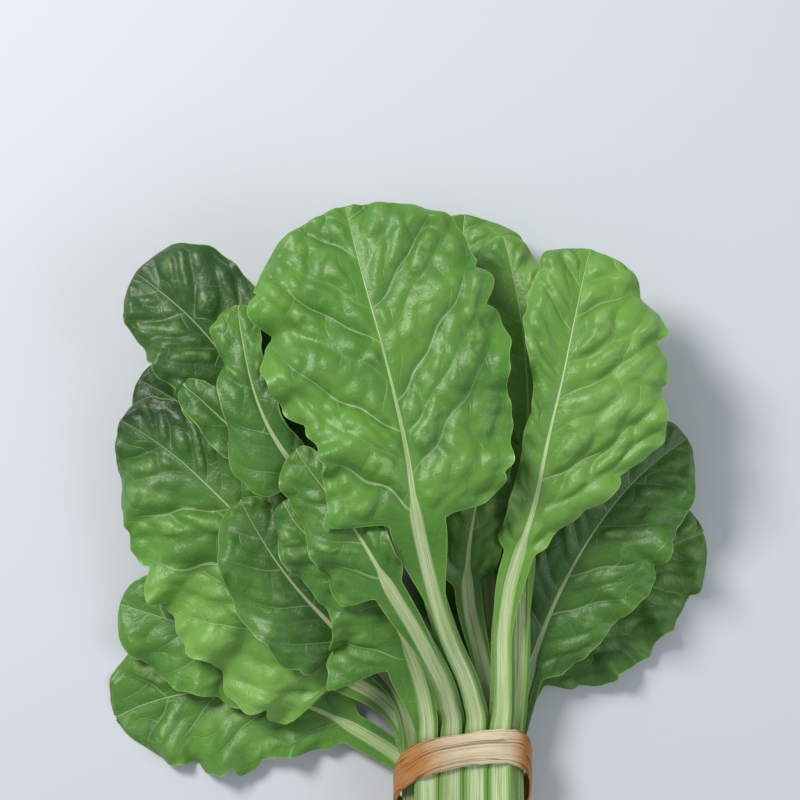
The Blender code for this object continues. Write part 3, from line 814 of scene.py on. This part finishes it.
def leaf_piece(name, fine, under, order):
    """A closed mesh of the fine leaf, with the places on it that its material reads."""
    rows, columns = fine.thick.shape
    count = rows * columns
    grid = np.arange(count).reshape(rows, columns)
    a, b, c, d = grid[:-1, :-1], grid[:-1, 1:], grid[1:, 1:], grid[1:, :-1]
    top = np.stack([a, b, c, d], axis=-1).reshape(-1, 4)
    rim = np.array([*grid[0, :-1], *grid[:-1, -1], *grid[-1, :0:-1], *grid[:0:-1, 0]])
    after = np.roll(rim, -1)
    edge = np.stack([after, rim, rim + count, after + count], axis=-1)
    faces = np.vstack([top, top[:, ::-1] + count, edge])
    verts = np.vstack([fine.points.reshape(-1, 3), under.reshape(-1, 3)]) + PLACE
    mesh = bpy.data.meshes.new(name)
    mesh.from_pydata((verts * MM).tolist(), [], faces.tolist())
    turns, cross, spacing = veins_of(fine, order)
    across = np.where(fine.left, -fine.r, fine.r)
    on_blade = RIB_AT_TIP + RIB_AT_FOOT * (1 - fine.u) ** RIB_FADE
    ribs = fine.stem * (RIB_ON_STEM * (1 - fine.into) + fine.into * on_blade)
    # Each blade's own tone and its painted shade, or painted light where the value is below nought
    foot, to_tip, to_right = TONES_AND_PAINTED_SHADING[fine.leaf.name]
    tone_and_painted_shading = foot + to_tip * fine.u**2 + to_right * across / TONE_AND_SHADING_REACH
    for word, values in (
        ("leaf_place", (across, fine.s, LEAF_APART * order)),
        ("leaf_veins", (turns, cross, fine.rim)),
        ("leaf_field", (fine.puffed, spacing, 0.0)),
        ("leaf_tone_and_shading", (tone_and_painted_shading, ribs, across / fine.stem)),
    ):
        upper = np.stack([np.broadcast_to(value, (rows, columns)) for value in values], axis=-1)
        both = np.vstack([upper.reshape(-1, 3)] * 2)
        if word == "leaf_field":
            both[count:, 2] = 1
        mark(mesh, word, both)
    mesh.shade_smooth()
    mesh.set_sharp_from_angle(angle=LEAF_EDGE)
    return shown(name, mesh)


def round_neck(angle, out):
    """A point round the neck's rounded outline, out beyond it."""
    c, s = np.cos(angle), np.sin(angle)
    power = 2 / TIE_SQUARENESS
    x = np.sign(c) * np.abs(c) ** power * (TIE_HALF_WIDTH + out)
    z = np.sign(s) * np.abs(s) ** power * (TIE_HALF_HEIGHT + out)
    return x, z


def ripples(angle, terms, start=0):
    """The start with waves round the neck added, each with its height, count and shift."""
    return sum((height * np.sin(count * angle + shift) for height, count, shift in terms), start)


def tie_piece(name):
    """The strip of raffia: its outer face creased along its length, its inner face plain."""
    angle = np.linspace(0, 2 * math.pi, TIE_AROUND, endpoint=False)[:, None]
    share = np.linspace(-0.5, 0.5, TIE_ACROSS)[None, :]
    wander = ripples(angle, TIE_WANDER)
    creases = 0
    for k, (turns, height) in enumerate(TIE_CREASES):
        drift = share + wander + TIE_CREASE_DRIFT * np.sin((k + 2) * angle + k)
        creases = creases + height * np.abs(np.sin(math.pi * turns * drift + 1.7 * k))
    rounded = np.sqrt(np.clip(1 - (2 * share) ** 6, 0, 1))
    raised = np.clip(creases + TIE_CREASE_BASE, 0, 1) * rounded
    outer = TIE_THICK * (TIE_LEAST + (1 - TIE_LEAST) * raised)
    breadth = TIE_BREADTH * ripples(angle, TIE_UNEVEN, 1)
    rings = []
    for out, lane in ((outer, share), (np.zeros_like(outer), share[:, ::-1])):
        x, z = round_neck(angle, out)
        y = TIE_OFFSET + TIE_SLANT_ACROSS * x + TIE_SLANT_UP * z + lane * breadth
        rings.append(np.stack([NECK_X + x, y, np.maximum(z + NECK_HEIGHT, 0)], axis=-1))
    points = np.concatenate(rings, axis=1)
    rows, columns = points.shape[:2]
    grid = np.arange(rows * columns).reshape(rows, columns)
    nexts, lefts = np.roll(grid, -1, axis=0), np.roll(grid, 1, axis=1)
    faces = np.stack([grid, lefts, np.roll(nexts, 1, axis=1), nexts], axis=-1).reshape(-1, 4)
    mesh = bpy.data.meshes.new(name)
    mesh.from_pydata(((points.reshape(-1, 3) + PLACE) * MM).tolist(), [], faces.tolist())
    lanes = np.concatenate([share, share[:, ::-1]], axis=1)
    run = np.stack([
        np.broadcast_to(np.cos(angle), (rows, columns)),
        np.broadcast_to(np.sin(angle), (rows, columns)),
        np.broadcast_to(lanes, (rows, columns)) + np.broadcast_to(wander, (rows, columns)),
    ], axis=-1)
    mark(mesh, "tie_run", run)
    mesh.shade_smooth()
    mesh.set_sharp_from_angle(angle=TIE_EDGE)
    return shown(name, mesh)


class Paint:
    """Builds a material's nodes from numbers, colours and other nodes' outputs."""

    def __init__(self, name):
        self.material = bpy.data.materials.new(name)
        self.material.use_nodes = True
        self.tree = self.material.node_tree
        self.shader = self.tree.nodes["Principled BSDF"]

    def plug(self, socket, value):
        if isinstance(value, bpy.types.NodeSocket):
            self.tree.links.new(value, socket)
        elif value is not None:
            socket.default_value = value

    def node(self, kind, inputs=None, **settings):
        made = self.tree.nodes.new(kind)
        for word, value in settings.items():
            setattr(made, word, value)
        for word, value in (inputs or {}).items():
            self.plug(made.inputs[word], value)
        return made

    def maths(self, operation, a, b=None, c=None):
        return self.node("ShaderNodeMath", {0: a, 1: b, 2: c}, operation=operation).outputs[0]

    def times(self, *values):
        """The product of all that it is given."""
        total = values[0]
        for value in values[1:]:
            total = self.maths("MULTIPLY", total, value)
        return total

    def inverse(self, value):
        return self.maths("SUBTRACT", 1.0, value)

    def attribute(self, name):
        """What is kept at each point under the name, and its three parts."""
        found = self.node("ShaderNodeAttribute", attribute_name=name).outputs["Vector"]
        parts = self.node("ShaderNodeSeparateXYZ", {0: found})
        return found, *parts.outputs

    def step(self, value, low, high):
        """A soft step from 0 at low to 1 at high."""
        words = {"Value": value, "From Min": low, "From Max": high}
        return self.node("ShaderNodeMapRange", words, interpolation_type="SMOOTHSTEP").outputs[0]

    def mix(self, share, a, b):
        return self.node("ShaderNodeMix", {0: share, 6: a, 7: b}, data_type="RGBA").outputs[2]

    def between(self, share, a, b):
        """Runs evenly from a to b as the share runs from 0 to 1."""
        words = {"Value": share, "To Min": a, "To Max": b}
        return self.node("ShaderNodeMapRange", words).outputs[0]

    def noise(self, vector, scale, detail=2.0, roughness=0.5):
        words = {"Vector": vector, "Scale": scale, "Detail": detail, "Roughness": roughness}
        return self.node("ShaderNodeTexNoise", words).outputs[0]

    def vector(self, x, y, z):
        return self.node("ShaderNodeCombineXYZ", {0: x, 1: y, 2: z}).outputs[0]

    def stretched(self, vector, by):
        return self.node("ShaderNodeVectorMath", {0: vector, 1: by}, operation="MULTIPLY").outputs[0]

    def near_whole(self, value):
        """How far a number is from the nearest whole one."""
        part = self.maths("FRACT", value)
        return self.maths("MINIMUM", part, self.inverse(part))

    def finish(self, colour, roughness, height, strength, distance):
        """Plugs the looks into the shader. The bump's distance is in metres."""
        words = {"Strength": strength, "Distance": distance, "Height": height}
        bump = self.node("ShaderNodeBump", words)
        self.plug(self.shader.inputs["Base Color"], colour)
        self.plug(self.shader.inputs["Roughness"], roughness)
        self.plug(self.shader.inputs["Normal"], bump.outputs[0])
        return self.material


# A painted highlight, for the tops of the puffed fields
GREEN_PAINTED_HIGHLIGHT = (0.33, 0.50, 0.17, 1)
# Painted light, for blades that lie in shade
GREEN_PAINTED_LIGHT = (0.235, 0.470, 0.085, 1)
GREEN_LIGHT = (0.155, 0.375, 0.046, 1)
GREEN_MID = (0.084, 0.260, 0.032, 1)
# Painted shade, for the valleys between the fields and for blades that lie in shadow
GREEN_PAINTED_SHADE = (0.018, 0.080, 0.013, 1)
SHADE_BROWN = (0.030, 0.026, 0.014, 1)
VEIN = (0.42, 0.60, 0.24, 1)
MARGIN = (0.30, 0.50, 0.12, 1)
STEM_PALE = (0.92, 0.97, 0.72, 1)
STEM_LIGHT = (0.66, 0.80, 0.38, 1)
STEM_MID = (0.40, 0.60, 0.19, 1)
STEM_GREEN = (0.20, 0.42, 0.08, 1)
UNDER_PALE = (0.20, 0.36, 0.12, 1)
CUT_FACE = (0.80, 0.88, 0.58, 1)
TIE_BROWN = (0.54, 0.195, 0.024, 1)
TIE_TAN = (0.68, 0.36, 0.11, 1)
TIE_PALE = (1.0, 0.88, 0.59, 1)
# Painted shade, for the tie's creases
TIE_CREASE_SHADE = (0.20, 0.07, 0.015, 1)
STEM_ROUGHNESS = (0.34, 0.34, 0.34, 1)
UNDER_ROUGHNESS = (0.62, 0.62, 0.62, 1)
LEAF_BUMP, LEAF_BUMP_DISTANCE = 0.7, 0.0004
TIE_BUMP, TIE_BUMP_DISTANCE = 0.9, 0.0006


def leaf_material():
    p = Paint("chard_leaf")
    place, across, along, number_of_leaf = p.attribute("leaf_place")
    _, turns, cross, rim = p.attribute("leaf_veins")
    _, puffed, spacing, under = p.attribute("leaf_field")
    _, tone_and_painted_shading, rib, share = p.attribute("leaf_tone_and_shading")
    reach = p.maths("ABSOLUTE", across)

    # The blade's green, from broad patches to fine mottling, with painted shade in the valleys between
    # its puffed fields
    patches = p.noise(place, scale=0.028, detail=2)
    mottle = p.noise(place, scale=0.22, detail=3, roughness=0.6)
    specks = p.noise(place, scale=1.3, detail=2, roughness=0.6)
    green = p.mix(p.step(patches, 0.35, 0.62), GREEN_MID, GREEN_LIGHT)
    green = p.mix(p.between(mottle, 0.0, 0.5), green, GREEN_MID)
    green = p.mix(p.between(specks, 0.0, 0.25), green, GREEN_LIGHT)
    # Painted shade in the valleys between the puffed fields
    green = p.mix(p.times(p.step(puffed, -0.05, -0.5), 0.4), green, GREEN_PAINTED_SHADE)

    # Each leaf's own tone with painted shade, going brown where deepest, and painted light where it is
    # below nought; and painted highlights on the tops of its puffed fields
    green = p.mix(p.times(tone_and_painted_shading, 0.9), green, GREEN_PAINTED_SHADE)
    green = p.mix(p.step(tone_and_painted_shading, 0.9, 1.6), green, SHADE_BROWN)
    green = p.mix(p.times(tone_and_painted_shading, -0.9), green, GREEN_PAINTED_LIGHT)
    # Painted highlights on the tops of the puffed fields, fainter on the darker leaves
    highlight_tops = p.times(p.step(puffed, 0.1, 0.75), p.step(mottle, 0.38, 0.6))
    green = p.mix(p.times(highlight_tops, p.between(tone_and_painted_shading, 0.55, 0.3)), green, GREEN_PAINTED_HIGHLIGHT)

    # A fine net of veins
    bend = p.node("ShaderNodeTexNoise", {"Vector": place, "Scale": 0.16, "Detail": 1.0}).outputs["Color"]
    words = {0: bend, 1: (5, 5, 0), 2: place}
    warped = p.node("ShaderNodeVectorMath", words, operation="MULTIPLY_ADD").outputs[0]
    words = {"Vector": warped, "Scale": 0.26}
    net = p.node("ShaderNodeTexVoronoi", words, feature="DISTANCE_TO_EDGE").outputs["Distance"]
    net = p.inverse(p.step(net, 0.0, 0.10))

    # Side veins that thin out towards the margin, each second one strong, and the cross veins
    from_vein = p.times(p.near_whole(turns), spacing)
    width = p.between(p.step(rim, 0.0, 30.0), 0.12, 0.38)
    side_vein = p.inverse(p.step(from_vein, width, p.maths("ADD", width, 0.4)))
    nearest = p.maths("ROUND", turns)
    second = p.maths("MODULO", p.maths("ABSOLUTE", nearest), 2.0)
    number = p.maths("MULTIPLY_ADD", nearest, 3.0, p.maths("SIGN", across))
    luck = p.node("ShaderNodeTexWhiteNoise", {"W": number}, noise_dimensions="1D").outputs["Value"]
    side_vein = p.times(side_vein, p.times(p.between(second, 0.2, 1.0), p.between(luck, 0.45, 1.0)))
    side_vein = p.times(side_vein, p.between(p.step(rim, 2.0, 30.0), 0.25, 1.0))
    rung = p.maths("MULTIPLY_ADD", p.maths("FLOOR", turns), GOLDEN, cross)
    cross_vein = p.inverse(p.step(p.times(p.near_whole(rung), CROSS_VEIN), 0.12, 0.5))
    blade = p.mix(p.times(net, 0.03), green, VEIN)
    blade = p.mix(p.times(cross_vein, 0.08), blade, VEIN)
    blade = p.mix(p.times(side_vein, p.between(tone_and_painted_shading, 0.72, 0.25)), blade, VEIN)
    blade = p.mix(p.times(p.inverse(p.step(rim, 0.1, 0.6)), 0.75), blade, MARGIN)

    # The stem and the midrib: pale, striped along their length with pale streaks that are partly painted
    # highlights, greener at the sides
    far = p.times(along, 0.010)
    broad = p.noise(p.vector(p.times(share, 2.3), far, number_of_leaf), scale=1.0, detail=1)
    stripes = p.vector(p.times(share, 9.0), far, number_of_leaf)
    stripes = p.noise(stripes, scale=1.0, detail=3, roughness=0.6)
    streaks_and_glints = p.vector(p.times(share, 21.0), p.times(along, 0.03), number_of_leaf)
    streaks_and_glints = p.noise(streaks_and_glints, scale=1.0, detail=2)
    sides = p.step(p.maths("ABSOLUTE", share), 0.5, 1.0)
    stem = p.mix(p.step(broad, 0.3, 0.7), STEM_LIGHT, STEM_MID)
    stem = p.mix(p.times(p.step(stripes, 0.44, 0.62), 0.5), stem, STEM_GREEN)
    # Pale streaks: partly the stem's own pale stripes, partly painted highlights of its gloss
    stem = p.mix(p.times(p.step(streaks_and_glints, 0.5, 0.6), 0.75), stem, STEM_PALE)
    stem = p.mix(p.times(sides, 0.75), stem, STEM_GREEN)
    # Painted shade on the stems of the shaded leaves
    stem = p.mix(p.times(tone_and_painted_shading, 0.4), stem, SHADE_BROWN)
    on_rib = p.inverse(p.step(reach, p.times(rib, 0.8), p.times(rib, 1.15)))
    colour = p.mix(on_rib, blade, stem)

    # The underside is paler, and the cut end paler still
    colour = p.mix(under, colour, p.mix(0.5, colour, UNDER_PALE))
    colour = p.mix(p.inverse(p.step(along, 0.02, 0.3)), colour, CUT_FACE)

    shine = p.between(p.noise(place, scale=0.35, detail=3, roughness=0.7), 0.28, 0.55)
    shine = p.mix(on_rib, shine, STEM_ROUGHNESS)
    roughness = p.mix(under, shine, UNDER_ROUGHNESS)

    # Bumps: fine grain, sunken veins above and raised ones below, and ridges along the stem
    off_rib = p.inverse(on_rib)
    grain = p.noise(place, scale=1.1, detail=3, roughness=0.7)
    wrinkle = p.maths("SUBTRACT", p.noise(place, scale=0.17, detail=2), 0.5)
    wrinkle = p.maths("MINIMUM", p.maths("ABSOLUTE", wrinkle), 0.12)
    wrinkle = p.times(wrinkle, p.times(p.step(mottle, 0.4, 0.6), off_rib))
    lines = p.maths("MAXIMUM", p.times(net, 0.15), p.maths("MAXIMUM", cross_vein, side_vein))
    lines = p.times(lines, p.between(under, -0.55, 0.8), off_rib)
    ridges = p.times(stripes, on_rib, 1.6)
    height = p.maths("MULTIPLY_ADD", wrinkle, 3.5, lines)
    height = p.maths("ADD", p.maths("MULTIPLY_ADD", grain, 0.35, height), ridges)
    return p.finish(colour, roughness, height, LEAF_BUMP, LEAF_BUMP_DISTANCE)


def tie_material():
    p = Paint("raffia_tie")
    run, side, top, _ = p.attribute("tie_run")
    broad = p.noise(p.stretched(run, (1.6, 1.6, 3.0)), scale=1.0, detail=2)
    fibres = p.noise(p.stretched(run, (1.5, 1.5, 20.0)), scale=2.4, detail=5, roughness=0.7)
    threads = p.noise(p.stretched(run, (1.2, 1.2, 34.0)), scale=4.0, detail=3, roughness=0.6)
    creases = p.noise(p.stretched(run, (0.3, 0.3, 6.0)), scale=1.2, detail=2, roughness=0.45)

    # Painted light: pale where it lies on top of the bunch and faces the light, brown round its sides;
    # with pale patches at random, and tan along the fibres
    painted_lit_top = p.times(p.step(top, 0.55, 0.97), p.step(side, -0.6, 0.2))
    patches_and_painted_light = p.maths("MULTIPLY_ADD", p.step(broad, 0.35, 0.65), 0.12, p.times(painted_lit_top, 0.9))
    colour = p.mix(patches_and_painted_light, TIE_BROWN, TIE_PALE)
    colour = p.mix(p.times(p.step(threads, 0.5, 0.7), 0.15), colour, TIE_PALE)
    tan = p.times(p.step(fibres, 0.5, 0.68), p.between(painted_lit_top, 0.34, 0.12))
    colour = p.mix(tan, colour, TIE_TAN)

    # Painted shade in the sunken creases along it
    from_crease = p.maths("ABSOLUTE", p.maths("SUBTRACT", creases, 0.5))
    crease = p.inverse(p.step(from_crease, 0.002, 0.02))
    colour = p.mix(p.times(crease, 0.6), colour, TIE_CREASE_SHADE)
    height = p.maths("MULTIPLY_ADD", crease, -1.6, p.maths("MULTIPLY_ADD", threads, 0.6, fibres))
    return p.finish(colour, p.between(fibres, 0.38, 0.6), height, TIE_BUMP, TIE_BUMP_DISTANCE)


def build_camera():
    data = bpy.data.cameras.new("camera")
    data.lens = LENS
    data.sensor_width = SENSOR
    data.clip_start, data.clip_end = CLIP_START, CLIP_END
    camera = bpy.data.objects.new("camera", data)
    bpy.context.scene.collection.objects.link(camera)
    bpy.context.scene.camera = camera
    away = VIEW_WIDTH * LENS / SENSOR
    camera.location = (np.array([*VIEW_MIDDLE, VIEW_HEIGHT + away]) + PLACE) * MM


def build_light(name, place, size, power, colour):
    """A round, soft light that faces the middle of the bunch."""
    data = bpy.data.lights.new(name, "AREA")
    data.shape = "DISK"
    data.size = size
    data.energy = power
    data.color = colour
    light = bpy.data.objects.new(name, data)
    bpy.context.scene.collection.objects.link(light)
    light.location = place
    light.rotation_mode = "QUATERNION"
    light.rotation_quaternion = Vector(place).to_track_quat("Z", "Y")


def build_stage():
    """A plain pale floor, a soft key light from the upper left, a weaker fill and an even sky."""
    mesh = bpy.data.meshes.new("floor")
    corners = [(x * FLOOR_HALF, y * FLOOR_HALF, 0) for x, y in ((-1, -1), (1, -1), (1, 1), (-1, 1))]
    mesh.from_pydata(corners, [], [(0, 1, 2, 3)])
    floor = shown("floor", mesh)
    p = Paint("floor")
    p.shader.inputs["Base Color"].default_value = FLOOR_COLOUR
    p.shader.inputs["Roughness"].default_value = FLOOR_ROUGHNESS
    mesh.materials.append(p.material)
    build_light("key", KEY_PLACE, KEY_SIZE, KEY_POWER, KEY_COLOUR)
    build_light("fill", FILL_PLACE, FILL_SIZE, FILL_POWER, FILL_COLOUR)
    world = bpy.data.worlds.new("studio")
    world.use_nodes = True
    backdrop = world.node_tree.nodes["Background"]
    backdrop.inputs["Color"].default_value = SKY_COLOUR
    backdrop.inputs["Strength"].default_value = SKY_STRENGTH
    bpy.context.scene.world = world
    bpy.context.scene.view_settings.view_transform = "Standard"


# The solids' layout, then the fine leaves on it
rough_pile = Pile(SAMPLES, CLEARANCE, STEM_CLEARANCE, widened=True)
rough_leaves = []
for leaf in LEAVES:
    spine = Spine(leaf)
    rough = sheet(leaf, spine, rows_of(leaf, spine), COLUMNS, plain_reach, even_puffs)
    lift, rough_under = lay(rough, rough_pile)
    rough_leaves.append((rough, lift, rough_under))

last, _, last_under = rough_leaves[-1]
both_faces = np.vstack([last.points.reshape(-1, 3), last_under.reshape(-1, 3)])
PLACE = np.array(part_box(last.leaf.name)[0]) / MM - both_faces.min(axis=0)

build_camera()
leaf_look = leaf_material()
fine_pile = Pile(FINE_SAMPLES, FINE_CLEARANCE, STEMS_STAY, widened=False)
for order, (rough, lift, _) in enumerate(rough_leaves):
    fine, fine_under = fine_leaf(rough, lift, fine_pile, order)
    name = rough.leaf.name
    piece = leaf_piece("fine_" + name, fine, fine_under, order)
    piece.data.materials.append(leaf_look)
    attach(piece, "root")
    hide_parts(name)

tie = tie_piece("fine_tie")
tie.data.materials.append(tie_material())
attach(tie, "root")
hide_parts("tie")

build_stage()
